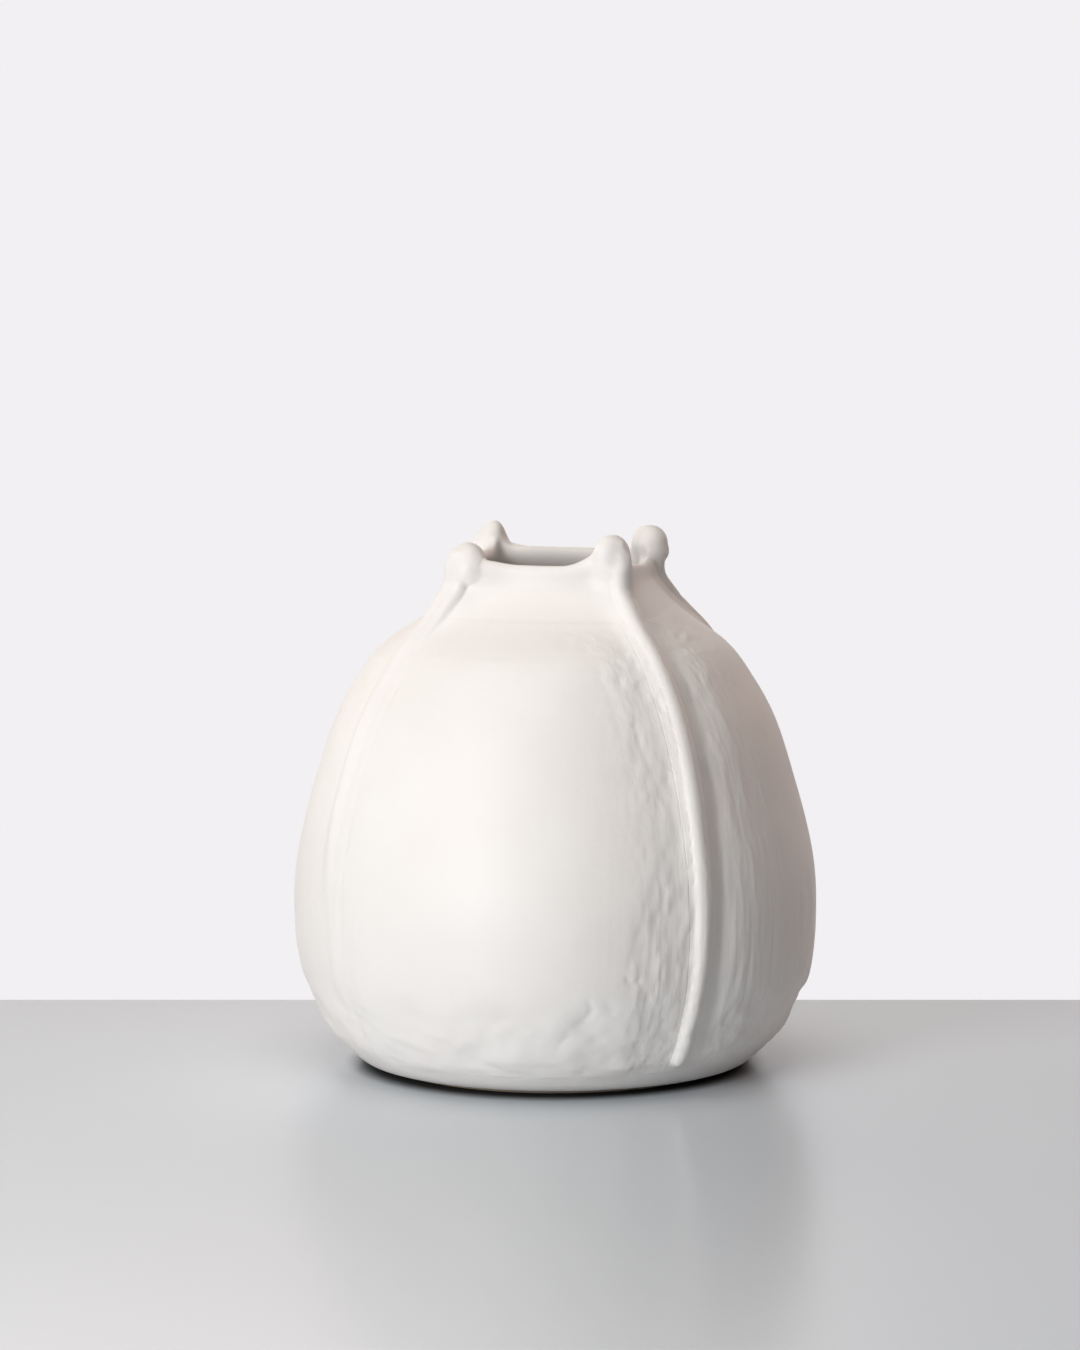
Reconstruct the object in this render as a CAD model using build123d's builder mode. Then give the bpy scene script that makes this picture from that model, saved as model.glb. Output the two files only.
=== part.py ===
from build123d import *
import os
from collections import namedtuple
from math import atan2, cos, degrees, hypot, pi, sin, sqrt

# Pillow vase built from clay slabs: four cushion-shaped walls on a round base, a low square neck,
# a rounded coil over each of the four seams and an upturned ear at each corner of the rim.
# Millimetres, +Z up. The origin is the middle of the foot, on the surface that the vase stands on.
# The front wall faces -Y, and the seams lie on the diagonals between the walls.

os.makedirs("parts", exist_ok=True)

# Slab
wall = 6.0

# Foot and base
foot_height = 2.5
foot_outer_radius = 79.0
foot_width = 12.0
base_thickness = 8.0
base_flare = 8.5
base_edge_fillet = 2.5
base_top_radius = 98.0

# Outside of the walls. Each rise is the height from the stage below, each crown is the reach of the
# middle of a wall from the axis, and each seam is the reach of the corner between two walls.
lower_rise = 26.5
lower_crown = 114.5
lower_seam = 109.0
belly_rise = 38.0
belly_crown = 120.0
belly_seam = 115.0
upper_rise = 55.0
upper_crown = 110.0
upper_seam = 107.0
shoulder_rise = 46.0
shoulder_crown = 91.5
shoulder_seam = 87.5
brow_rise = 18.0
brow_crown = 77.5
brow_seam = 77.0

# Neck, from the joint on top of the walls to the middle of the rim
joint_rise = 15.0
joint_crown = 54.5
joint_seam = 63.0
throat_rise = 13.5
throat_crown = 40.5
throat_seam = 53.0
rim_rise = 11.0
rim_crown = 39.5
rim_seam = 54.0
rim_fillet = 2.2

# The rim is level along the middle of each side, and sweeps up to the ears at the corners
dip_flat = 36.0
dip_sweep = 30.0

# Coils over the seams, with a rounded tip at the foot of each
rib_width = 11.5
rib_proud = 4.0
rib_tip_length = 9.0
rib_tip_lift = 2.0
tip_steps = 4
wall_steps = 10
neck_steps = 3

# Ears
ear_radius = 8.0
ear_inset = 2.0
ear_lift = 2.0
ear_crest = 11.5
ear_tip_radius = 5.0

# The sides and the corners, each a quarter turn on from the one before it
sides = ("front", "right", "back", "left")
corners = ("front_right", "back_right", "back_left", "front_left")

# A stage is one level of the outside
Stage = namedtuple("Stage", "level crown seam")
base_top = foot_height + base_thickness
stages = [Stage(base_top, base_top_radius, base_top_radius)]
for rise, crown, seam in (
    (lower_rise, lower_crown, lower_seam),
    (belly_rise, belly_crown, belly_seam),
    (upper_rise, upper_crown, upper_seam),
    (shoulder_rise, shoulder_crown, shoulder_seam),
    (brow_rise, brow_crown, brow_seam),
    (joint_rise, joint_crown, joint_seam),
    (throat_rise, throat_crown, throat_seam),
    (rim_rise, rim_crown, rim_seam),
):
    stages.append(Stage(stages[-1].level + rise, crown, seam))
belly_index = 2
joint_index = 6
throat_index = 7
rim_level = stages[-1].level


def level_wall(index):
    """Level thickness of a slab of even thickness where its outside leans in or out."""
    below = stages[max(index - 1, 0)]
    above = stages[min(index + 1, len(stages) - 1)]
    slope = (above.crown - below.crown) / (above.level - below.level)
    return wall * hypot(1, slope)


def slab_outline(crown, seam, thickness):
    """Closed level section of the front slab, cut on the diagonals at its two seams.

    The outside is an arc through the crown and both seams, and the inside is an arc about the same centre.
    """
    half = seam * sqrt(0.5)
    centre = (crown**2 - seam**2) / (2 * (crown - half))
    inner_radius = crown - centre - thickness
    inner_half = (centre + sqrt(2 * inner_radius**2 - centre**2)) / 2
    outside = ThreePointArc((-half, -half), (0, -crown), (half, -half))
    inside = ThreePointArc((-inner_half, -inner_half), (0, thickness - crown), (inner_half, -inner_half))
    Line(outside @ 0, inside @ 0)
    Line(outside @ 1, inside @ 1)


def seam_edge(edges, stage):
    """The one of a front slab's edges that runs up its right-hand seam on the outside."""
    half = stage.seam * sqrt(0.5)
    return edges.sort_by_distance((half, -half, stage.level))[0]


def seam_place(edge, distance):
    """Point and upward direction on a seam edge, at a distance along it from its lower end."""
    if (edge @ 0).Z > (edge @ 1).Z:
        distance = edge.length - distance
    upward = edge.tangent_at(distance, PositionMode.LENGTH)
    return edge.position_at(distance, PositionMode.LENGTH), upward if upward.Z > 0 else -upward


def off_seam(edge):
    """Whether an edge of the front slab lies off the two diagonals."""
    middle = edge @ 0.5
    return abs(abs(middle.X) + middle.Y) > rim_fillet


# Foot ring
with BuildPart() as foot_ring:
    with BuildSketch():
        Circle(foot_outer_radius)
        Circle(foot_outer_radius - foot_width, mode=Mode.SUBTRACT)
    extrude(amount=foot_height)
foot_ring.part.label = "foot_ring"
export_step(foot_ring.part, "parts/foot_ring.step")

# Base slab, whose edge flares out to meet the walls
with BuildPart() as base_slab:
    with BuildSketch(Plane.XZ):
        with BuildLine():
            Polyline(
                (0, foot_height),
                (base_top_radius - base_flare, foot_height),
                (base_top_radius, base_top),
                (0, base_top),
                close=True,
            )
        make_face()
    revolve(axis=Axis.Z)
    lower_edge = base_slab.edges().filter_by(GeomType.CIRCLE).group_by(Axis.Z)[0]
    fillet(lower_edge, base_edge_fillet)
base_slab.part.label = "base_slab"
export_step(base_slab.part, "parts/base_slab.step")

# Walls: lofted through level sections, from a quarter circle on the base to a bowed side of a square
with BuildPart() as front_wall:
    for index, stage in enumerate(stages[: joint_index + 1]):
        with BuildSketch(Plane.XY.offset(stage.level)):
            with BuildLine():
                slab_outline(stage.crown, stage.seam, level_wall(index))
            make_face()
    loft()
wall_seam = seam_edge(front_wall.edges(), stages[belly_index])
walls = {}
for turns, side in enumerate(sides):
    with BuildPart() as wall_panel:
        add(front_wall.part, rotation=(0, 0, 90 * turns))
    walls[side] = wall_panel.part
    wall_panel.part.label = f"wall_panel_{side}"
    export_step(wall_panel.part, f"parts/wall_panel_{side}.step")

# Ears: an egg of clay set over each corner of the rim. Its round lower half runs into a longer arc up
# to the tip, and the tip is a smaller arc tangent to that one.
ear_reach = rim_seam - ear_inset
tip_height = ear_crest - ear_tip_radius
side_radius = (ear_radius**2 + tip_height**2 - ear_tip_radius**2) / (2 * (ear_radius - ear_tip_radius))
side_turn = degrees(atan2(tip_height, side_radius - ear_radius))
with BuildPart() as first_ear:
    with BuildSketch(Plane((ear_reach, 0, rim_level + ear_lift), x_dir=(1, 0, 0), z_dir=(0, -1, 0))):
        with BuildLine():
            Line((0, -ear_radius), (0, ear_crest))
            CenterArc((0, 0), ear_radius, 270, 90)
            CenterArc((ear_radius - side_radius, 0), side_radius, 0, side_turn)
            CenterArc((0, tip_height), ear_tip_radius, side_turn, 90 - side_turn)
        make_face()
    revolve(axis=Axis((ear_reach, 0, 0), (0, 0, 1)))
ears = {}
for turns, corner in enumerate(corners):
    with BuildPart() as corner_ear:
        add(first_ear.part, rotation=(0, 0, 90 * turns - 45))
    ears[corner] = corner_ear.part
    corner_ear.part.label = f"corner_ear_{corner}"
    export_step(corner_ear.part, f"parts/corner_ear_{corner}.step")

# Neck strips: lofted on past the rim, dipped along it and seated round the ears
with BuildPart() as front_neck:
    for index, stage in enumerate(stages):
        if index >= joint_index:
            with BuildSketch(Plane.XY.offset(stage.level)):
                with BuildLine():
                    slab_outline(stage.crown, stage.seam, level_wall(index))
                make_face()
    with BuildSketch(Plane.XY.offset(rim_level + dip_sweep)):
        with BuildLine():
            slab_outline(rim_crown, rim_seam, level_wall(len(stages) - 1))
        make_face()
    loft()
    neck_seam = seam_edge(front_neck.edges(), stages[throat_index])
    with BuildSketch(Plane.XZ) as dip:
        with Locations((0, rim_level)):
            Rectangle(dip_flat + 2 * dip_sweep, 2 * dip_sweep, align=(Align.CENTER, Align.MIN))
        fillet(dip.vertices().group_by(Axis.Y)[0], dip_sweep)
    extrude(amount=2 * rim_crown, mode=Mode.SUBTRACT)
    rim_edges = front_neck.edges(Select.LAST).filter_by(GeomType.LINE, reverse=True)
    fillet(rim_edges.filter_by(off_seam), rim_fillet)
    add(ears["front_right"], mode=Mode.SUBTRACT)
    add(ears["front_left"], mode=Mode.SUBTRACT)
necks = {}
for turns, side in enumerate(sides):
    with BuildPart() as neck_panel:
        add(front_neck.part, rotation=(0, 0, 90 * turns))
    necks[side] = neck_panel.part
    neck_panel.part.label = f"neck_panel_{side}"
    export_step(neck_panel.part, f"parts/neck_panel_{side}.step")

# Seam coils: flattened rounds lofted up the seam, bedded on the walls, the neck and the ear
coil = []
for step in range(tip_steps):
    roll = (step + 1) / tip_steps * pi / 2
    coil.append((wall_seam, rib_tip_lift + rib_tip_length * (1 - cos(roll)), sin(roll)))
wall_start = rib_tip_lift + rib_tip_length
for step in range(wall_steps):
    coil.append((wall_seam, wall_start + (wall_seam.length - wall_start) * (step + 1) / wall_steps, 1))
neck_run = neck_seam.length - dip_sweep
for step in range(neck_steps):
    coil.append((neck_seam, neck_run * (step + 1) / neck_steps, 1))
with BuildPart() as front_right_rib:
    for edge, distance, fullness in coil:
        middle, upward = seam_place(edge, distance)
        with BuildSketch(Plane(middle, x_dir=(1, 1, 0), z_dir=upward)):
            Ellipse(rib_width / 2 * fullness, rib_proud * fullness)
    loft()
    add(base_slab.part, mode=Mode.SUBTRACT)
    for side in ("front", "right"):
        add(walls[side], mode=Mode.SUBTRACT)
        add(necks[side], mode=Mode.SUBTRACT)
    add(ears["front_right"], mode=Mode.SUBTRACT)
for turns, corner in enumerate(corners):
    with BuildPart() as seam_rib:
        add(front_right_rib.part, rotation=(0, 0, 90 * turns))
    seam_rib.part.label = f"seam_rib_{corner}"
    export_step(seam_rib.part, f"parts/seam_rib_{corner}.step")
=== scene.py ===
from itertools import product
from math import atan2, cos, degrees, hypot, pi, radians, sin, sqrt

import bmesh
import bpy
import numpy as np
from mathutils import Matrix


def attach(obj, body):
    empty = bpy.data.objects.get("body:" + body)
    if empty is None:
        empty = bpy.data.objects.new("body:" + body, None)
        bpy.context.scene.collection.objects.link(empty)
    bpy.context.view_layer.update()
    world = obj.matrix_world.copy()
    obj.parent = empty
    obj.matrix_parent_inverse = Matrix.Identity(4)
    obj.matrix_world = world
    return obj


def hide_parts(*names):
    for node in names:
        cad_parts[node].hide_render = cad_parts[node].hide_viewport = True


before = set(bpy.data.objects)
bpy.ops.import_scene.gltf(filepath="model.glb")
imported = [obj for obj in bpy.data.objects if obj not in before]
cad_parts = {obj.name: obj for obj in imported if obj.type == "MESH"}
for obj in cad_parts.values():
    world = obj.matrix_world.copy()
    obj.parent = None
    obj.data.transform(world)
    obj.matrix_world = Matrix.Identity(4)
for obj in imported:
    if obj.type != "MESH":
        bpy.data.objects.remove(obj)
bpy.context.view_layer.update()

# White pillow vase, hand built: the whole clay form is modelled as one body, worked over, and then cut into
# the slabs, coils and ears that it was joined from. Sizes here are in millimetres, and the meshes in metres.
MM = 0.001

# Outside from the foot up: level, reach of the middle of a wall, and reach of a seam, from the axis
STAGES = (
    (2.5, 89.0, 89.0),
    (10.5, 97.8, 97.8),
    (37.0, 114.3, 112.0),
    (75.0, 119.8, 118.5),
    (130.0, 109.8, 110.6),
    (176.0, 91.5, 91.0),
    (194.0, 77.5, 78.5),
    (209.0, 54.5, 63.0),
    (222.5, 40.5, 53.0),
    (233.5, 39.5, 54.0),
    (250.0, 39.5, 54.0),
)
WALL = 6.0
FLOOR_LEVEL = 9.8
THROAT_LEVEL = 222.5

# Foot ring, which is set a little way up into the base
FOOT_RADIUS = 79.0
FOOT_WIDTH = 12.0
FOOT_HEIGHT = 2.6

# Levels at which the clay body is cut into its slabs
BASE_CUT = 10.5
NECK_CUT = 209.0

# Rim along the middle of each side, from the front right corner round: angle in degrees, level
RIM = (
    (-180, 233.2), (-45, 233.0), (-20, 231.6), (0, 230.4), (20, 228.8), (38, 228.0), (48, 231.0), (56, 233.0),
    (180, 233.2),
)

# Reach of the middle of a side at the rim
RIM_REACH = 39.5

# Corners: the way each points, the level that the rim climbs to there, and how far from the corner the climb
# starts on the side before it and on the side after it, going round from the front to the right
CORNERS = {
    "front_right": (-45, 245.6, 31.0, 15.0),
    "back_right": (45, 235.0, 9.0, 13.0),
    "back_left": (135, 240.4, 10.5, 14.0),
    "front_left": (-135, 238.6, 14.0, 20.0),
}

# Share of its full relief that each corner's coil keeps where it was pressed flat on the wall
COIL_SHARE = {"front_right": 1.0, "back_right": 1.0, "back_left": 0.9, "front_left": 0.12}
COIL_PRESSED_TOP = 185.0

# Ears are cut out as upright rounds
EAR_CUT_RADIUS = 10.5
EAR_CUT_REACH = 51.0
EAR_CUT_LOW = 229.5
EAR_CUT_HIGH = 260.0

# Ears, each pressed from one or more round lumps: reach, shift anticlockwise seen from above, level,
# then half depth along the reach, half width across it and half height
EARS = {
    "front_right": (
        (46.6, -1.8, 236.8, 6.8, 9.4, 10.6),
    ),
    "back_right": (
        (50.8, 0.0, 235.6, 8.6, 8.6, 8.6),
    ),
    "back_left": (
        (53.0, 0.0, 233.2, 7.2, 9.6, 7.6),
        (51.6, 0.0, 237.2, 5.8, 6.8, 6.2),
        (50.2, 0.0, 239.8, 4.6, 4.8, 5.0),
    ),
    "front_left": (
        (46.8, 0.6, 232.0, 8.6, 8.6, 10.2),
    ),
}

# Wander of the front right seam to the right of its corner: level, degrees
SEAM_WANDER = (
    (10.0, -2.0), (30.0, -1.8), (75.0, -0.8), (120.0, 0.2), (150.0, 0.9),
    (175.0, 1.5), (206.0, 1.4), (222.0, 2.0), (236.0, 1.0), (250.0, 0.5),
)

# The four corners stand a little further round to the right and left than a true square's: degrees
CORNER_SPREAD = 1.2

# Seam coils from the tip up: level, half width, and how far the coil stands out of the seam
COIL = (
    (13.0, 1.0, 0.8),
    (13.8, 2.6, 2.0),
    (15.5, 3.9, 3.1),
    (19.0, 4.6, 3.7),
    (32.0, 4.5, 3.7),
    (50.0, 4.4, 3.6),
    (75.0, 5.0, 3.6),
    (110.0, 5.3, 3.6),
    (150.0, 5.4, 3.5),
    (190.0, 5.2, 3.4),
    (215.0, 5.2, 3.6),
    (226.0, 5.4, 3.2),
    (239.0, 3.6, 0.8),
)
COIL_STEP = 3.0

# Coils that cut the seam coils out of the clay body, in the same order, and how much wider, further out and
# deeper than the seam they are
CUT_COIL = (
    (8.0, 3.0, 4.0),
    (9.0, 5.0, 4.0),
    (10.5, 6.0, 4.0),
    (12.0, 6.6, 4.0),
    (200.0, 7.2, 4.0),
    (245.0, 7.2, 4.0),
)
CUT_WIDEN = 0.6
CUT_RAISE = 3.0
CUT_DEPTH = 6.0

# Fineness of the clay body
AROUND = 160
RING_STEP = 4.0
VOXEL = 1.1

# The part's sides, each with the turn of its middle about the axis
SIDES = {"front": 0, "right": 90, "back": 180, "left": 270}

LEVELS, CROWNS, SEAMS = (np.array(column) for column in zip(*STAGES))
CROWN_LEANS = np.gradient(CROWNS, LEVELS)
SEAM_LEANS = np.gradient(SEAMS, LEVELS)


def along(level, values, leans):
    """Smooth curve through the stages, at one level or at an array of them."""
    index = np.clip(np.searchsorted(LEVELS, level) - 1, 0, len(LEVELS) - 2)
    rise = LEVELS[index + 1] - LEVELS[index]
    t = np.clip((level - LEVELS[index]) / rise, 0, 1)
    return (
        (2 * t**3 - 3 * t**2 + 1) * values[index]
        + (t**3 - 2 * t**2 + t) * rise * leans[index]
        + (3 * t**2 - 2 * t**3) * values[index + 1]
        + (t**3 - t**2) * rise * leans[index + 1]
    )


def off_middle(angle):
    """Angle from the middle of the nearest side, in radians."""
    return np.mod(angle + pi / 4, pi / 2) - pi / 4


def reach(angle, level, inset=0.0):
    """Reach of the outside from the axis: each side is an arc through its two seams and its middle."""
    crown = along(level, CROWNS, CROWN_LEANS)
    half = along(level, SEAMS, SEAM_LEANS) * sqrt(0.5)
    centre = (crown**2 - 2 * half**2) / (2 * (crown - half))
    radius = crown - centre - inset
    turn = off_middle(angle)
    return centre * np.cos(turn) + np.sqrt(radius**2 - (centre * np.sin(turn)) ** 2)


def level_wall(level):
    """Level thickness of the slab where its outside leans."""
    lean = along(level + 1, CROWNS, CROWN_LEANS) - along(level - 1, CROWNS, CROWN_LEANS)
    return WALL * hypot(1, lean / 2)


def ease(value):
    """Smooth step from 0 to 1."""
    value = np.clip(value, 0, 1)
    return value * value * (3 - 2 * value)


def rim_height(angle):
    """Level of the top of the rim, which climbs from the middle of each side to the ears."""
    level = float(np.interp(degrees(angle), *zip(*RIM)))
    for way, top, before, after in CORNERS.values():
        apart = (degrees(angle) - way + 180) % 360 - 180
        if abs(apart) <= 45:
            from_corner = RIM_REACH * (1 - abs(np.tan(off_middle(angle))))
            climb = before if apart < 0 else after
            level += (top - level) * ease((climb - from_corner) / climb) ** 1.4
            break
    return level


def pick(piece):
    """Make one object the only selected and active one."""
    bpy.ops.object.select_all(action="DESELECT")
    piece.select_set(True)
    bpy.context.view_layer.objects.active = piece


def join(pieces):
    """Join several objects into one."""
    pick(pieces[0])
    for piece in pieces:
        piece.select_set(True)
    bpy.ops.object.join()
    return bpy.context.object


def extrude_rings(name, rings, around):
    """Model a closed solid from a disc that is extruded ring by ring. A ring places each angle round it."""
    bpy.ops.object.select_all(action="DESELECT")
    bpy.ops.mesh.primitive_circle_add(vertices=around, radius=MM, fill_type="NGON")
    piece = bpy.context.object
    piece.name = name
    bpy.ops.object.mode_set(mode="EDIT")
    clay = bmesh.from_edit_mesh(piece.data)
    turn = clay.verts.layers.float.new("turn")
    for point in clay.verts:
        point[turn] = atan2(point.co.y, point.co.x)
    for number, ring in enumerate(rings):
        if number:
            bpy.ops.mesh.extrude_region()
        clay = bmesh.from_edit_mesh(piece.data)
        turn = clay.verts.layers.float["turn"]
        for point in clay.verts:
            if point.select:
                point.co = [size * MM for size in ring(point[turn])]
        bmesh.update_edit_mesh(piece.data)
    bpy.ops.mesh.select_all(action="SELECT")
    bpy.ops.mesh.normals_make_consistent(inside=False)
    bpy.ops.object.mode_set(mode="OBJECT")
    return piece


def round_ring(radius, level):
    return lambda angle: (radius * cos(angle), radius * sin(angle), level)


def outer_ring(level):
    def place(angle):
        radius = float(reach(angle, level))
        return radius * cos(angle), radius * sin(angle), level
    return place


def neck_ring(share, inset, drop):
    """Ring of the neck at a share of the way from the throat to the rim, which isn't level."""
    def place(angle):
        level = THROAT_LEVEL + share * (rim_height(angle) - drop - THROAT_LEVEL)
        radius = float(reach(angle, level, inset))
        return radius * cos(angle), radius * sin(angle), level
    return place


def inner_ring(level, inset=0.0):
    def place(angle):
        radius = float(reach(angle, level, level_wall(level))) - inset
        return radius * cos(angle), radius * sin(angle), level
    return place


def model_shell():
    """Walls, neck and floor in one: out over the bottom, up the outside, over the rim and down the inside."""
    rings = [round_ring(70, 2.5), round_ring(85.5, 2.5), round_ring(88, 2.7), round_ring(89.8, 3.6)]
    rings += [outer_ring(level) for level in np.arange(6.0, THROAT_LEVEL, RING_STEP)]
    rings += [neck_ring(share, 0.0, 2.6) for share in (0.0, 0.25, 0.5, 0.75, 1.0)]
    rings += [neck_ring(1.0, 0.8, 0.9), neck_ring(1.0, 2.1, 0.15), neck_ring(1.0, 3.6, 0.1)]
    rings += [neck_ring(1.0, 5.1, 0.9), neck_ring(1.0, WALL, 2.6)]
    rings += [neck_ring(share, WALL, 2.6) for share in (0.75, 0.5, 0.25, 0.0)]
    rings += [inner_ring(level) for level in np.arange(THROAT_LEVEL - RING_STEP, 20.0, -RING_STEP)]
    rings += [inner_ring(16.0, 1.0), inner_ring(12.5, 3.0), inner_ring(10.6, 6.5)]
    rings += [inner_ring(FLOOR_LEVEL, 12.0)]
    rings += [round_ring(40, FLOOR_LEVEL), round_ring(6, FLOOR_LEVEL)]
    return extrude_rings("vase_clay", rings, AROUND)


def coil_rings(way, stations, share=1.0, widen=0.0, raise_by=0.0, depth=None):
    """Rings of a flattened coil up the seam, square to the seam's own line."""
    levels, widths, prouds = (np.array(column) for column in zip(*stations))
    steps = list(levels[:4]) + list(np.arange(levels[3] + COIL_STEP, levels[-1], COIL_STEP)) + [levels[-1]]
    out = np.array([cos(radians(way)), sin(radians(way)), 0.0])
    side = np.array([-sin(radians(way)), cos(radians(way)), 0.0])
    up = np.array([0.0, 0.0, 1.0])
    rings = []
    for level in steps:
        seam = float(along(level, SEAMS, SEAM_LEANS))
        lean = float(along(level + 1, SEAMS, SEAM_LEANS) - along(level - 1, SEAMS, SEAM_LEANS)) / 2
        square = (out - lean * up) / hypot(1, lean)
        half_width = float(np.interp(level, levels, widths)) + widen
        kept = share + (1 - share) * float(ease((level - COIL_PRESSED_TOP) / 30))
        proud = kept * float(np.interp(level, levels, prouds)) if depth is None else depth
        centre = seam * out + level * up + raise_by * square
        rings.append(coil_ring(centre, half_width * side, proud * square))
    return rings


def coil_ring(centre, across, outward):
    return lambda angle: centre + cos(angle) * across + sin(angle) * outward


def ear_lump(way, far, shift, level, depth, width, height):
    """Round lump of clay at a corner of the rim."""
    bpy.ops.object.select_all(action="DESELECT")
    bpy.ops.mesh.primitive_uv_sphere_add(segments=32, ring_count=20, radius=1)
    lump = bpy.context.object
    lump.scale = (depth * MM, width * MM, height * MM)
    lump.rotation_euler = (0, 0, radians(way))
    lump.location = (
        (far * cos(radians(way)) - shift * sin(radians(way))) * MM,
        (far * sin(radians(way)) + shift * cos(radians(way))) * MM,
        level * MM,
    )
    bpy.ops.object.transform_apply(location=True, rotation=True, scale=True)
    return lump


def apply_modifiers(piece):
    pick(piece)
    for modifier in list(piece.modifiers):
        bpy.ops.object.modifier_apply(modifier=modifier.name)


def model_clay():
    """Shell, coils and ears pressed together into one body of clay."""
    lumps = [model_shell()]
    for corner, (way, top, before, after) in CORNERS.items():
        lumps.append(extrude_rings("coil", coil_rings(way, COIL, COIL_SHARE[corner]), 24))
        lumps += [ear_lump(way, *sizes) for sizes in EARS[corner]]
    clay = join(lumps)
    remesh = clay.modifiers.new("press together", "REMESH")
    remesh.mode = "VOXEL"
    remesh.voxel_size = VOXEL * MM
    soften = clay.modifiers.new("smooth over", "SMOOTH")
    soften.factor = 0.5
    soften.iterations = 5
    apply_modifiers(clay)
    upper = clay.vertex_groups.new(name="neck and ears")
    for point in clay.data.vertices:
        share = float(ease((point.co.z / MM - 216) / 10))
        if share:
            upper.add([point.index], share, "REPLACE")
    stroke = clay.modifiers.new("stroked with a wet finger", "SMOOTH")
    stroke.factor = 0.5
    stroke.iterations = 18
    stroke.vertex_group = upper.name
    apply_modifiers(clay)
    clay.vertex_groups.clear()
    return clay


def cut(body, name, cutter, operation):
    """Copy of the clay body, with a cutter's share kept or taken away."""
    piece = body.copy()
    piece.data = body.data.copy()
    piece.name = name
    bpy.context.collection.objects.link(piece)
    boolean = piece.modifiers.new("cut", "BOOLEAN")
    boolean.operation = operation
    boolean.solver = "MANIFOLD"
    boolean.object = cutter
    apply_modifiers(piece)
    return piece


def block(name, low, high):
    """Square cutter between two levels."""
    size = 600 * MM
    bpy.ops.object.select_all(action="DESELECT")
    bpy.ops.mesh.primitive_cube_add(size=1)
    cutter = bpy.context.object
    cutter.name = name
    cutter.scale = (size, size, (high - low) * MM)
    cutter.location = (0, 0, (high + low) / 2 * MM)
    bpy.ops.object.transform_apply(location=True, rotation=True, scale=True)
    return cutter


def side_block(turn):
    """Cutter whose corner lies on the axis and which opens to one side of the vase."""
    size = 400 * MM
    bpy.ops.object.select_all(action="DESELECT")
    bpy.ops.mesh.primitive_cube_add(size=1)
    cutter = bpy.context.object
    cutter.scale = (size, size, size * 2)
    cutter.rotation_euler = (0, 0, radians(45 + turn))
    way = radians(turn - 90)
    cutter.location = (size * sqrt(0.5) * cos(way), size * sqrt(0.5) * sin(way), 0)
    bpy.ops.object.transform_apply(location=True, rotation=True, scale=True)
    return cutter


def split_loose(piece, prefix, ways):
    """Separate a piece's loose parts and name each for the way that it lies in."""
    pick(piece)
    bpy.ops.mesh.separate(type="LOOSE")
    found = {}
    for part in list(bpy.context.selected_objects):
        middle = np.mean([point.co[:2] for point in part.data.vertices], axis=0)
        toward = degrees(atan2(middle[1], middle[0]))
        name = min(ways, key=lambda way: abs((toward - ways[way] + 180) % 360 - 180))
        found.setdefault(f"{prefix}_{name}", []).append(part)
    return {name: join(parts) for name, parts in found.items()}


def unevenness(points, size, seed):
    """Smooth random relief between -1 and 1 at each point, in lumps of about that size."""
    dice = np.random.default_rng(seed).uniform(-1, 1, (32, 32, 32))
    place = points / np.array(size)
    cell = np.floor(place).astype(int)
    part = place - cell
    part = part * part * (3 - 2 * part)
    relief = np.zeros(len(points))
    for corner in product((0, 1), repeat=3):
        weight = np.prod(np.where(corner, part, 1 - part), axis=1)
        relief += weight * dice[tuple(((cell + corner) % 32).T)]
    return relief


def bump_at(distance, width):
    """Soft mound of height 1 that falls off either side of a distance of 0."""
    return np.exp(-((distance / width) ** 2))


# Left edge of the scraped band beside the front right coil: level, distance from the seam
SCRAPED_EDGE = (
    (14.0, 25.0), (45.0, 31.0), (57.0, 34.0), (66.0, 36.0), (86.0, 29.0), (103.0, 24.0), (122.0, 16.0),
    (132.0, 16.0), (144.0, 20.5), (154.0, 23.5), (168.0, 25.0), (185.0, 20.0), (205.0, 14.0),
)

# Marks on the front wall: points as angle in degrees and level, with the width and depth of the groove
MARKS = (
    (((-68.9, 48.5), (-68.2, 44.2), (-69.6, 40.4)), 1.7, 0.6),
    (((-69.9, 39.6), (-72.6, 35.0), (-73.4, 31.0)), 2.0, 0.5),
    (((-74.6, 29.0), (-76.0, 23.0)), 2.2, 0.3),
    (((-56.4, 167.8), (-55.0, 154.2), (-53.1, 144.3), (-50.6, 134.0)), 1.8, 0.35),
    (((-49.6, 144.6), (-48.6, 143.9)), 1.3, 0.8),
    (((-60.6, 57.5), (-59.4, 55.2), (-58.2, 56.6)), 1.6, 0.8),
    (((-48.6, 177.0), (-48.2, 173.5)), 1.3, 0.6),
    (((-64.9, 47.8), (-63.6, 45.0)), 2.6, 0.5),
    (((-54.4, 102.8), (-56.9, 86.1), (-60.2, 65.5)), 2.0, 0.4),
)

# Degrees by which every mark stands back to the left of its own angle
MARK_SHIFT = 2.2


def groove(angle, level, points, width):
    """Mound of height 1 along a line of points on the outside, seen flat at the belly's mean reach."""
    flat = np.column_stack((np.radians(angle) * 108, level))
    line = np.array([(radians(turn) * 108, rise) for turn, rise in points])
    nearest = np.full(len(flat), 1e9)
    for start, end in zip(line, line[1:]):
        run = end - start
        share = np.clip((flat - start) @ run / (run @ run), 0, 1)
        nearest = np.minimum(nearest, np.linalg.norm(flat - start - share[:, None] * run, axis=1))
    return bump_at(nearest, width)


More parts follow.
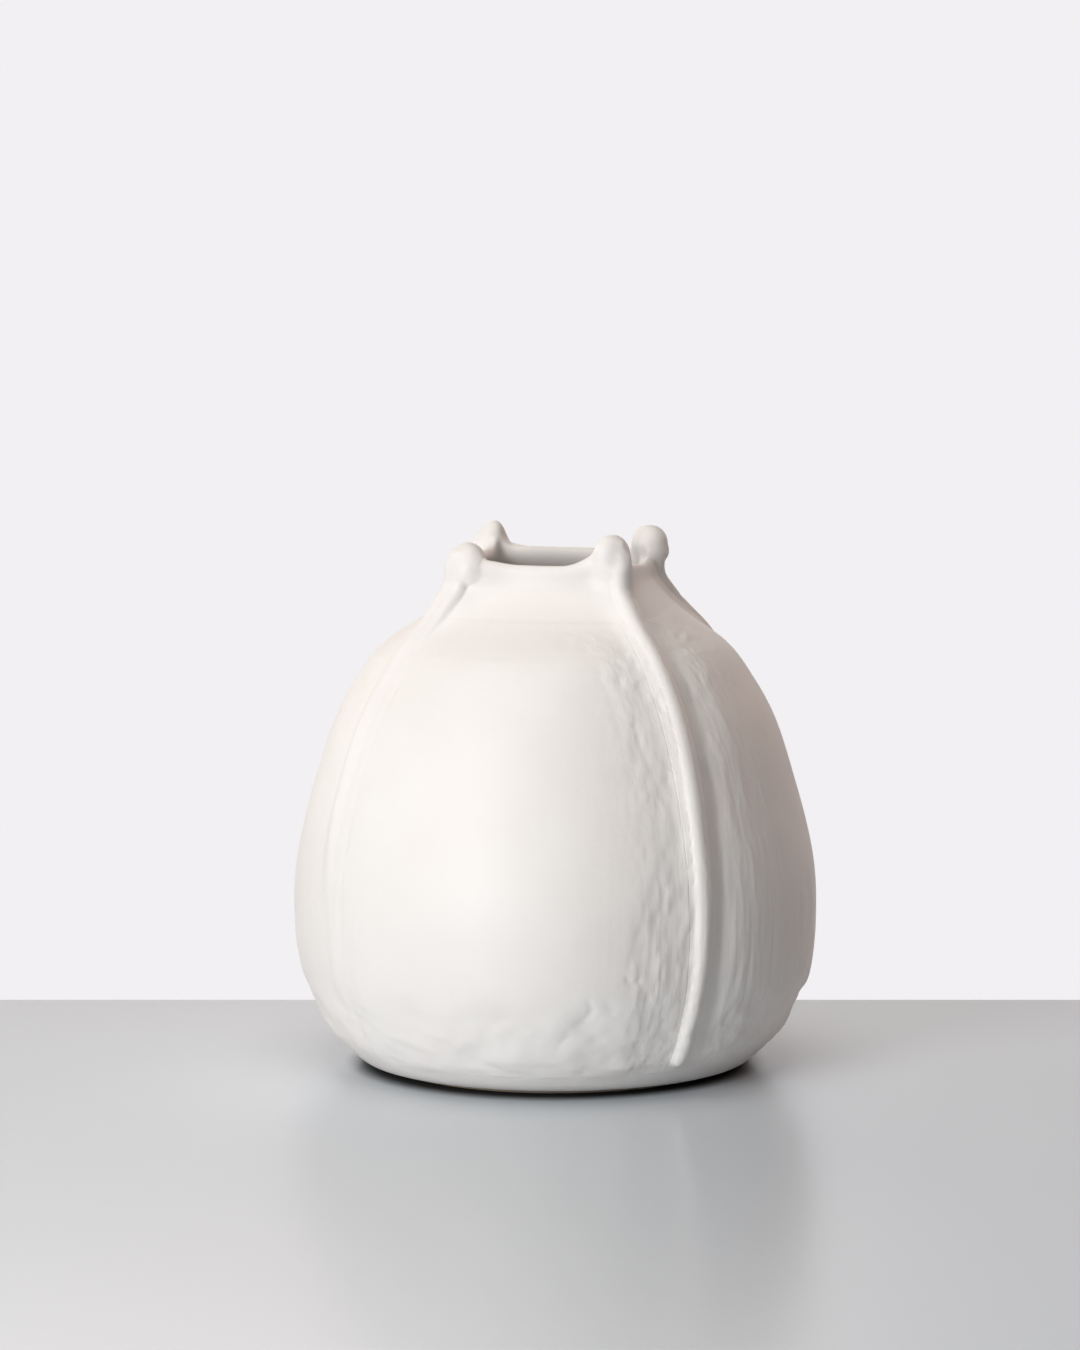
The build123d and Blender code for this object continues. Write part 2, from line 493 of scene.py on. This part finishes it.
def work_over(clay):
    """Press, scrape and smear the outside by hand, moving the clay in or out along its own facing."""
    count = len(clay.data.vertices)
    points = np.empty(count * 3)
    clay.data.vertices.foreach_get("co", points)
    points = points.reshape(-1, 3) / MM
    facing = np.empty(count * 3)
    clay.data.vertex_normals.foreach_get("vector", facing)
    facing = facing.reshape(-1, 3)
    angle = np.arctan2(points[:, 1], points[:, 0])
    level = points[:, 2]
    far = np.hypot(points[:, 0], points[:, 1])
    outside = ease((far - reach(angle, np.clip(level, 2.5, 250)) + 4.0) / 1.5) * ease((level - 3.0) / 6.0)
    on_body = outside * ease((level - 8) / 8) * ease((212 - level) / 10)
    turn = np.degrees(off_middle(angle))
    beside = (45 - np.abs(turn)) * pi / 180 * far
    move = np.zeros(count)
    # Slow unevenness of slabs shaped by hand, only inwards, and smaller presses over it
    move += outside * ease((230 - level) / 10) * (0.5 * unevenness(points, (48, 48, 60), 3) - 0.5)
    move += on_body * 0.22 * unevenness(points, (17, 17, 20), 5)
    # Finger lumps where the wall was pressed down on the base
    move += on_body * 0.95 * ease((60 - level) / 25) * unevenness(points, (13, 13, 10), 8)
    move += on_body * 0.5 * ease((48 - level) / 20) * unevenness(points, (7, 7, 5), 9)
    # Band scraped along each seam: deep and ragged beside the front right coil, and faint beside the others
    levels, edges = zip(*SCRAPED_EDGE)
    scraped = (angle > -pi / 2) & (angle < -pi / 4)
    shaded = (angle > -pi / 4) & (angle < 0)
    ragged = np.interp(level, levels, edges) + 1.5 * unevenness(points, (7, 7, 9), 12)
    patchy = 0.75 + 0.35 * unevenness(points, (18, 18, 26), 13)
    band = ease((ragged - beside) / 4.0) * ease((beside - 6.0) / 9.0)
    deepest = 0.2 + 0.3 * ease((150 - level) / 50)
    move -= on_body * np.where(scraped, deepest * patchy * band, 0)
    faint = bump_at(beside - 10, 6.0) * (0.5 + 0.5 * unevenness(points, (25, 25, 40), 14))
    move -= on_body * np.where(scraped, 0, np.where(shaded, 0.7, 0.35)) * faint
    move -= on_body * np.where(shaded, 1.3, 0.0) * bump_at(beside - 9.0, 5.0)
    ridge = beside - 27 - 2 * unevenness(points, (30, 30, 40), 15)
    move += on_body * np.where(shaded, 0.5, 0.0) * bump_at(ridge, 8.0)
    # Clay smeared from the upper part of the coil on to the wall on its left
    smeared = ease((level - 70) / 60) * np.where(turn > 0, 1.0, 0.0)
    move += outside * 2.3 * smeared * bump_at(beside - 5.6, 4.2) * ease((236 - level) / 6)
    # Neck filled out beside the front left ear
    beside_left = np.where((angle < -pi / 2) & (turn < 0), 1.0, 0.0)
    move += outside * 2.0 * beside_left * bump_at(beside - 10.5, 6.0) * bump_at(level - 228.5, 8.0)
    # Front left coil stroked flat towards the front, all but a thin line below the ear
    stroked = np.where((angle < -pi / 2) & (turn < 0), 1.0, 0.0) * (0.9 - 0.6 * bump_at(level - 205, 18))
    upper = ease((level - 170) / 30)
    move += outside * 1.6 * stroked * bump_at(beside - 6.0, 4.0) * upper * ease((236 - level) / 8)
    # Fine upright scraping, strongest beside the seams
    streaks = unevenness(points, (2.8, 2.8, 26), 21) + 0.7 * unevenness(points, (4.8, 4.8, 44), 22)
    near = ease((36 - beside) / 18) * np.where(scraped | shaded, 1.0, 0.4) + np.where(shaded, 0.7, 0.0)
    uneven = 0.75 + 0.6 * unevenness(points, (22, 22, 34), 25)
    move += on_body * (0.03 + np.where(shaded, 0.24, 0.15) * near * uneven) * streaks * ease((beside - 5) / 3)
    lumps = 0.24 * unevenness(points, (5.2, 5.2, 8), 23) + 0.2 * unevenness(points, (2.6, 2.6, 6), 24)
    torn = 1.1 * bump_at(level - 72, 26) * bump_at(beside - 20, 14)
    rough = np.where(scraped, 0.8 + torn, np.where(shaded, 0.5, 0.15))
    move += on_body * rough * ease((44 - beside) / 20) * lumps * ease((beside - 5) / 3)
    # Level crease between the neck and the walls
    crease = level - 210.6 - 0.9 * unevenness(points, (30, 30, 30), 31)
    strength = outside * (0.75 + 0.25 * unevenness(points, (22, 22, 22), 32))
    move -= strength * 0.24 * bump_at(crease, 1.8)
    # Thumb hollow under the rim beside the front right ear
    under_rim = bump_at(points[:, 0] - 24, 9.0) * bump_at(level - 228.0, 3.2) * (points[:, 1] < -30)
    move -= outside * 0.8 * under_rim
    # Single marks
    broken = 0.7 + 0.5 * unevenness(points, (5, 5, 6), 41)
    for line, width, depth in MARKS:
        move -= on_body * broken * depth * groove(np.degrees(angle) + MARK_SHIFT, level, line, width)
    scraping = clay.data.attributes.new("scraping", "FLOAT", "POINT")
    scraping.data.foreach_set("value", np.clip(on_body * (0.15 + near), 0, 1))
    points += facing * move[:, None]
    # Seams that wander a little from the true corners
    angle = np.arctan2(points[:, 1], points[:, 0])
    far = np.hypot(points[:, 0], points[:, 1])
    levels, turns = zip(*SEAM_WANDER)
    wander = np.interp(level, levels, turns) * bump_at(np.degrees(angle) + 45, 25)
    angle += np.radians(wander - CORNER_SPREAD * np.sin(2 * angle))
    points[:, 0] = far * np.cos(angle)
    points[:, 1] = far * np.sin(angle)
    clay.data.vertices.foreach_set("co", (points * MM).ravel())
    clay.data.update()


def linear(hex_colour):
    """Linear colour of an sRGB hex value."""
    channels = (int(hex_colour[place:place + 2], 16) / 255 for place in (1, 3, 5))
    return [c / 12.92 if c <= 0.04045 else ((c + 0.055) / 1.055) ** 2.4 for c in channels] + [1.0]


def add_node(tree, kind, inputs=None, **settings):
    """Add a node with its settings, and set or link its inputs."""
    node = tree.nodes.new(kind)
    for name, value in settings.items():
        setattr(node, name, value)
    for name, value in (inputs or {}).items():
        if isinstance(value, bpy.types.NodeSocket):
            tree.links.new(value, node.inputs[name])
        else:
            node.inputs[name].default_value = value
    return node


def per_mm(size):
    """Scale of a noise texture whose lumps are that many millimetres across."""
    return 1 / (size * MM)


def new_material(name):
    material = bpy.data.materials.new(name)
    material.use_nodes = True
    material.node_tree.nodes.clear()
    return material, material.node_tree


def satin_white_glazed_stoneware():
    """Stoneware under a satin white glaze: warm white, soft sheen, faint brushed streaks and peel."""
    material, tree = new_material("satin_white_glazed_stoneware")
    place = add_node(tree, "ShaderNodeTexCoord").outputs["Object"]
    cloud = add_node(tree, "ShaderNodeTexNoise", {"Vector": place, "Scale": per_mm(55), "Detail": 2.0})
    tone = add_node(tree, "ShaderNodeMapRange", {
        "Value": cloud.outputs["Fac"],
        "From Min": 0.35,
        "From Max": 0.65,
    })
    colour = add_node(tree, "ShaderNodeMix", {"Factor": tone.outputs["Result"]}, data_type="RGBA")
    colour.inputs["A"].default_value = linear("#F1ECE7")
    colour.inputs["B"].default_value = linear("#F4F0EB")
    sheen = add_node(tree, "ShaderNodeTexNoise", {"Vector": place, "Scale": per_mm(14), "Detail": 3.0})
    rough = add_node(tree, "ShaderNodeMapRange", {
        "Value": sheen.outputs["Fac"],
        "To Min": 0.46,
        "To Max": 0.62,
    })
    upright = add_node(tree, "ShaderNodeMapping", {"Vector": place, "Scale": (1.0, 1.0, 0.07)})
    streak = add_node(tree, "ShaderNodeTexNoise", {"Vector": upright.outputs["Vector"], "Scale": per_mm(2.2),
                                                   "Detail": 3.0})
    peel = add_node(tree, "ShaderNodeTexNoise", {"Vector": place, "Scale": per_mm(1.6), "Detail": 2.0})
    scraped = add_node(tree, "ShaderNodeAttribute", attribute_name="scraping").outputs["Fac"]
    lines = add_node(tree, "ShaderNodeMath", {0: streak.outputs["Fac"], 1: scraped}, operation="MULTIPLY")
    relief = add_node(tree, "ShaderNodeMath", {0: peel.outputs["Fac"], 1: 0.25, 2: lines.outputs["Value"]},
                      operation="MULTIPLY_ADD")
    bump = add_node(tree, "ShaderNodeBump", {"Height": relief.outputs["Value"], "Strength": 0.7,
                                             "Distance": 0.3 * MM})
    shader = add_node(tree, "ShaderNodeBsdfPrincipled", {
        "Base Color": colour.outputs["Result"],
        "Roughness": rough.outputs["Result"],
        "IOR": 1.5,
        "Normal": bump.outputs["Normal"],
    })
    add_node(tree, "ShaderNodeOutputMaterial", {"Surface": shader.outputs["BSDF"]})
    return material


def bare_fired_stoneware():
    """Bare fired clay under the foot, wiped free of glaze: dry, buff and grainy."""
    material, tree = new_material("bare_fired_stoneware")
    place = add_node(tree, "ShaderNodeTexCoord").outputs["Object"]
    grit = add_node(tree, "ShaderNodeTexNoise", {"Vector": place, "Scale": per_mm(1.2), "Detail": 4.0})
    colour = add_node(tree, "ShaderNodeMix", {"Factor": grit.outputs["Fac"]}, data_type="RGBA")
    colour.inputs["A"].default_value = linear("#A8957C")
    colour.inputs["B"].default_value = linear("#CDBEA8")
    bump = add_node(tree, "ShaderNodeBump", {
        "Height": grit.outputs["Fac"],
        "Strength": 0.6,
        "Distance": 0.2 * MM,
    })
    shader = add_node(tree, "ShaderNodeBsdfPrincipled", {
        "Base Color": colour.outputs["Result"],
        "Roughness": 0.9,
        "Normal": bump.outputs["Normal"],
    })
    add_node(tree, "ShaderNodeOutputMaterial", {"Surface": shader.outputs["BSDF"]})
    return material


def model_foot_ring():
    """Foot ring: a disc with its middle taken out, and its edges rounded."""
    bpy.ops.object.select_all(action="DESELECT")
    bpy.ops.mesh.primitive_cylinder_add(
        vertices=AROUND,
        radius=FOOT_RADIUS * MM,
        depth=FOOT_HEIGHT * MM,
        location=(0, 0, FOOT_HEIGHT / 2 * MM),
    )
    ring = bpy.context.object
    ring.name = "turned_foot_ring"
    bpy.ops.object.transform_apply(location=True)
    bpy.ops.object.mode_set(mode="EDIT")
    bpy.ops.mesh.select_mode(type="FACE")
    bpy.ops.mesh.select_all(action="DESELECT")
    clay = bmesh.from_edit_mesh(ring.data)
    for face in clay.faces:
        face.select = abs(face.normal.z) > 0.5
    bmesh.update_edit_mesh(ring.data)
    bpy.ops.mesh.inset(thickness=FOOT_WIDTH * MM, use_individual=True)
    bpy.ops.mesh.bridge_edge_loops()
    bpy.ops.mesh.select_all(action="SELECT")
    bpy.ops.mesh.normals_make_consistent(inside=False)
    bpy.ops.object.mode_set(mode="OBJECT")
    soften = ring.modifiers.new("wiped edge", "BEVEL")
    soften.width = 0.7 * MM
    soften.segments = 3
    apply_modifiers(ring)
    return ring


GLAZE = satin_white_glazed_stoneware()
BARE = bare_fired_stoneware()


def finish_piece(piece, name, nodes, material):
    """Name a finished piece, dress it, attach it to the root body, and hide the CAD parts of the nodes that it
    stands for.
    """
    piece.name = name
    piece.data.name = name
    piece.data.materials.clear()
    piece.data.materials.append(material)
    pick(piece)
    bpy.ops.object.shade_smooth_by_angle(angle=radians(50))
    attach(piece, "root")
    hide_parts(*nodes)


def cut_into_pieces(clay):
    """Cut the clay body at the joints between its slabs, coils and ears."""
    ways = {corner: values[0] for corner, values in CORNERS.items()}
    below = block("below", -20, BASE_CUT)
    rounds = []
    for way in ways.values():
        bpy.ops.object.select_all(action="DESELECT")
        bpy.ops.mesh.primitive_cylinder_add(
            vertices=48, radius=EAR_CUT_RADIUS * MM, depth=(EAR_CUT_HIGH - EAR_CUT_LOW) * MM,
            location=(EAR_CUT_REACH * cos(radians(way)) * MM, EAR_CUT_REACH * sin(radians(way)) * MM,
                      (EAR_CUT_HIGH + EAR_CUT_LOW) / 2 * MM),
        )
        bpy.ops.object.transform_apply(location=True)
        rounds.append(bpy.context.object)
    above = join(rounds)
    top = block("top", NECK_CUT, 300)
    coils = []
    for way in ways.values():
        rings = coil_rings(way, CUT_COIL, 1.0, CUT_WIDEN, CUT_RAISE, CUT_DEPTH)
        coils.append(extrude_rings("coil_cutter", rings, 32))
    coils = join(coils)
    pieces = {"base_slab": cut(clay, "base", below, "INTERSECT")}
    upper = cut(clay, "upper", below, "DIFFERENCE")
    body = cut(upper, "body", above, "DIFFERENCE")
    pieces.update(split_loose(cut(upper, "ears", above, "INTERSECT"), "corner_ear", ways))
    pieces.update(split_loose(cut(body, "coils", coils, "INTERSECT"), "seam_rib", ways))
    slabs = cut(body, "slabs", coils, "DIFFERENCE")
    necks = cut(slabs, "necks", top, "INTERSECT")
    walls = cut(slabs, "walls", top, "DIFFERENCE")
    spent = [clay, below, above, top, coils, upper, body, slabs, necks, walls]
    for side, turn in SIDES.items():
        wedge = side_block(turn)
        pieces[f"neck_panel_{side}"] = cut(necks, "neck", wedge, "INTERSECT")
        pieces[f"wall_panel_{side}"] = cut(walls, "wall", wedge, "INTERSECT")
        spent.append(wedge)
    for used in spent:
        bpy.data.objects.remove(used)
    return pieces


clay = model_clay()
work_over(clay)
for node, piece in cut_into_pieces(clay).items():
    finish_piece(piece, f"glazed_{node}", [node], GLAZE)
finish_piece(model_foot_ring(), "bare_foot_ring", ["foot_ring"], BARE)

def sees_white(tree):
    """1 for a ray that sees the white backdrop: from the camera, a gloss or a clear material."""
    ray = add_node(tree, "ShaderNodeLightPath").outputs
    shown = {0: ray["Is Camera Ray"], 1: ray["Is Glossy Ray"]}
    direct = add_node(tree, "ShaderNodeMath", shown, operation="MAXIMUM").outputs["Value"]
    through = {0: direct, 1: ray["Is Transmission Ray"]}
    return add_node(tree, "ShaderNodeMath", through, operation="MAXIMUM").outputs["Value"]


# Camera: fitted to the outline and the front right coil of the vase in the photograph
HEADING = radians(12.0)
camera_data = bpy.data.cameras.new("camera")
camera_data.lens = 173.33
camera_data.sensor_width = 36.0
camera_data.clip_end = 50.0
camera = bpy.data.objects.new("camera", camera_data)
camera.location = (0.6027, -2.8698, 0.5808)
camera.rotation_euler = (radians(90 - 7.82), 0, HEADING)
bpy.context.collection.objects.link(camera)
scene = bpy.context.scene
scene.camera = camera
scene.view_settings.view_transform = "Standard"

# Floor: plain pale grey, and white from a little way behind the vase, for the backdrop
BACKDROP_START = 147 * MM
bpy.ops.object.select_all(action="DESELECT")
bpy.ops.mesh.primitive_plane_add(size=12)
floor = bpy.context.object
floor.name = "floor"
material, tree = new_material("plain_pale_floor")
place = add_node(tree, "ShaderNodeTexCoord").outputs["Object"]
turned = add_node(tree, "ShaderNodeMapping", {"Vector": place, "Rotation": (0, 0, -HEADING)})
split = add_node(tree, "ShaderNodeSeparateXYZ", {"Vector": turned.outputs["Vector"]})
behind = add_node(tree, "ShaderNodeMath", {0: split.outputs["Y"], 1: BACKDROP_START}, operation="GREATER_THAN")
backdrop = add_node(tree, "ShaderNodeMath", {0: behind.outputs["Value"], 1: sees_white(tree)}, operation="MULTIPLY")
# Painted shade: the floor's colour is darkened in the narrow gap under the base, where little light comes in
near = add_node(tree, "ShaderNodeAmbientOcclusion", {"Distance": 11 * MM}, samples=16)
open_share = add_node(tree, "ShaderNodeMapRange", {
    "Value": near.outputs["AO"],
    "From Min": 0.15,
    "From Max": 0.6,
})
# Painted shade colour: dark grey in the gap under the base, pale grey where the floor is open
shade = add_node(tree, "ShaderNodeMix", {"Factor": open_share.outputs["Result"]}, data_type="RGBA")
shade.inputs["A"].default_value = linear("#3C3C3C")
shade.inputs["B"].default_value = linear("#CFD6DC")
gloss = add_node(tree, "ShaderNodeMath", {0: open_share.outputs["Result"], 1: 0.5}, operation="MULTIPLY")
ground = add_node(tree, "ShaderNodeBsdfPrincipled", {"Base Color": shade.outputs["Result"], "Roughness": 0.26,
                                                     "Specular IOR Level": gloss.outputs["Value"]})
white = add_node(tree, "ShaderNodeEmission", {"Color": linear("#F2F0F2"), "Strength": 1.0})
mixed = add_node(tree, "ShaderNodeMixShader", {0: backdrop.outputs["Value"], 1: ground.outputs["BSDF"],
                                               2: white.outputs["Emission"]})
add_node(tree, "ShaderNodeOutputMaterial", {"Surface": mixed.outputs["Shader"]})
floor.data.materials.append(material)

# World: near white where the camera sees it, and a dim even light on the vase
world = bpy.data.worlds.new("studio")
scene.world = world
world.use_nodes = True
tree = world.node_tree
tree.nodes.clear()
fill = add_node(tree, "ShaderNodeBackground", {"Color": linear("#FFEADA"), "Strength": 0.02})
seen = add_node(tree, "ShaderNodeBackground", {"Color": linear("#F2F0F2"), "Strength": 1.0})
mixed = add_node(tree, "ShaderNodeMixShader", {0: sees_white(tree), 1: fill.outputs["Background"],
                                               2: seen.outputs["Background"]})
add_node(tree, "ShaderNodeOutputWorld", {"Surface": mixed.outputs["Shader"]})


def soft_lamp(name, way, rise, distance, size, power, colour):
    """Square soft lamp that faces the middle of the vase from a way round it and a rise above it."""
    data = bpy.data.lights.new(name, "AREA")
    data.shape = "SQUARE"
    data.size = size
    data.energy = power
    data.color = linear(colour)[:3]
    lamp = bpy.data.objects.new(name, data)
    flat = distance * cos(radians(rise))
    lamp.location = (flat * cos(radians(way)), flat * sin(radians(way)), 0.12 + distance * sin(radians(rise)))
    lamp.rotation_euler = (radians(90 - rise), 0, radians(way + 90))
    bpy.context.collection.objects.link(lamp)


soft_lamp("window", -114, 12, 1.7, 0.7, 18.6, "#FCFDFF")
soft_lamp("ceiling", -90, 80, 1.7, 1.2, 14, "#FFF9F4")
soft_lamp("wall_behind_left", 150, 16, 1.7, 0.8, 4.5, "#FFEEE0")
soft_lamp("wall_behind", 110, 30, 1.7, 0.8, 3, "#FFE8D8")
soft_lamp("wall_behind_right", 50, 16, 1.7, 0.8, 2.0, "#FFAC7C")
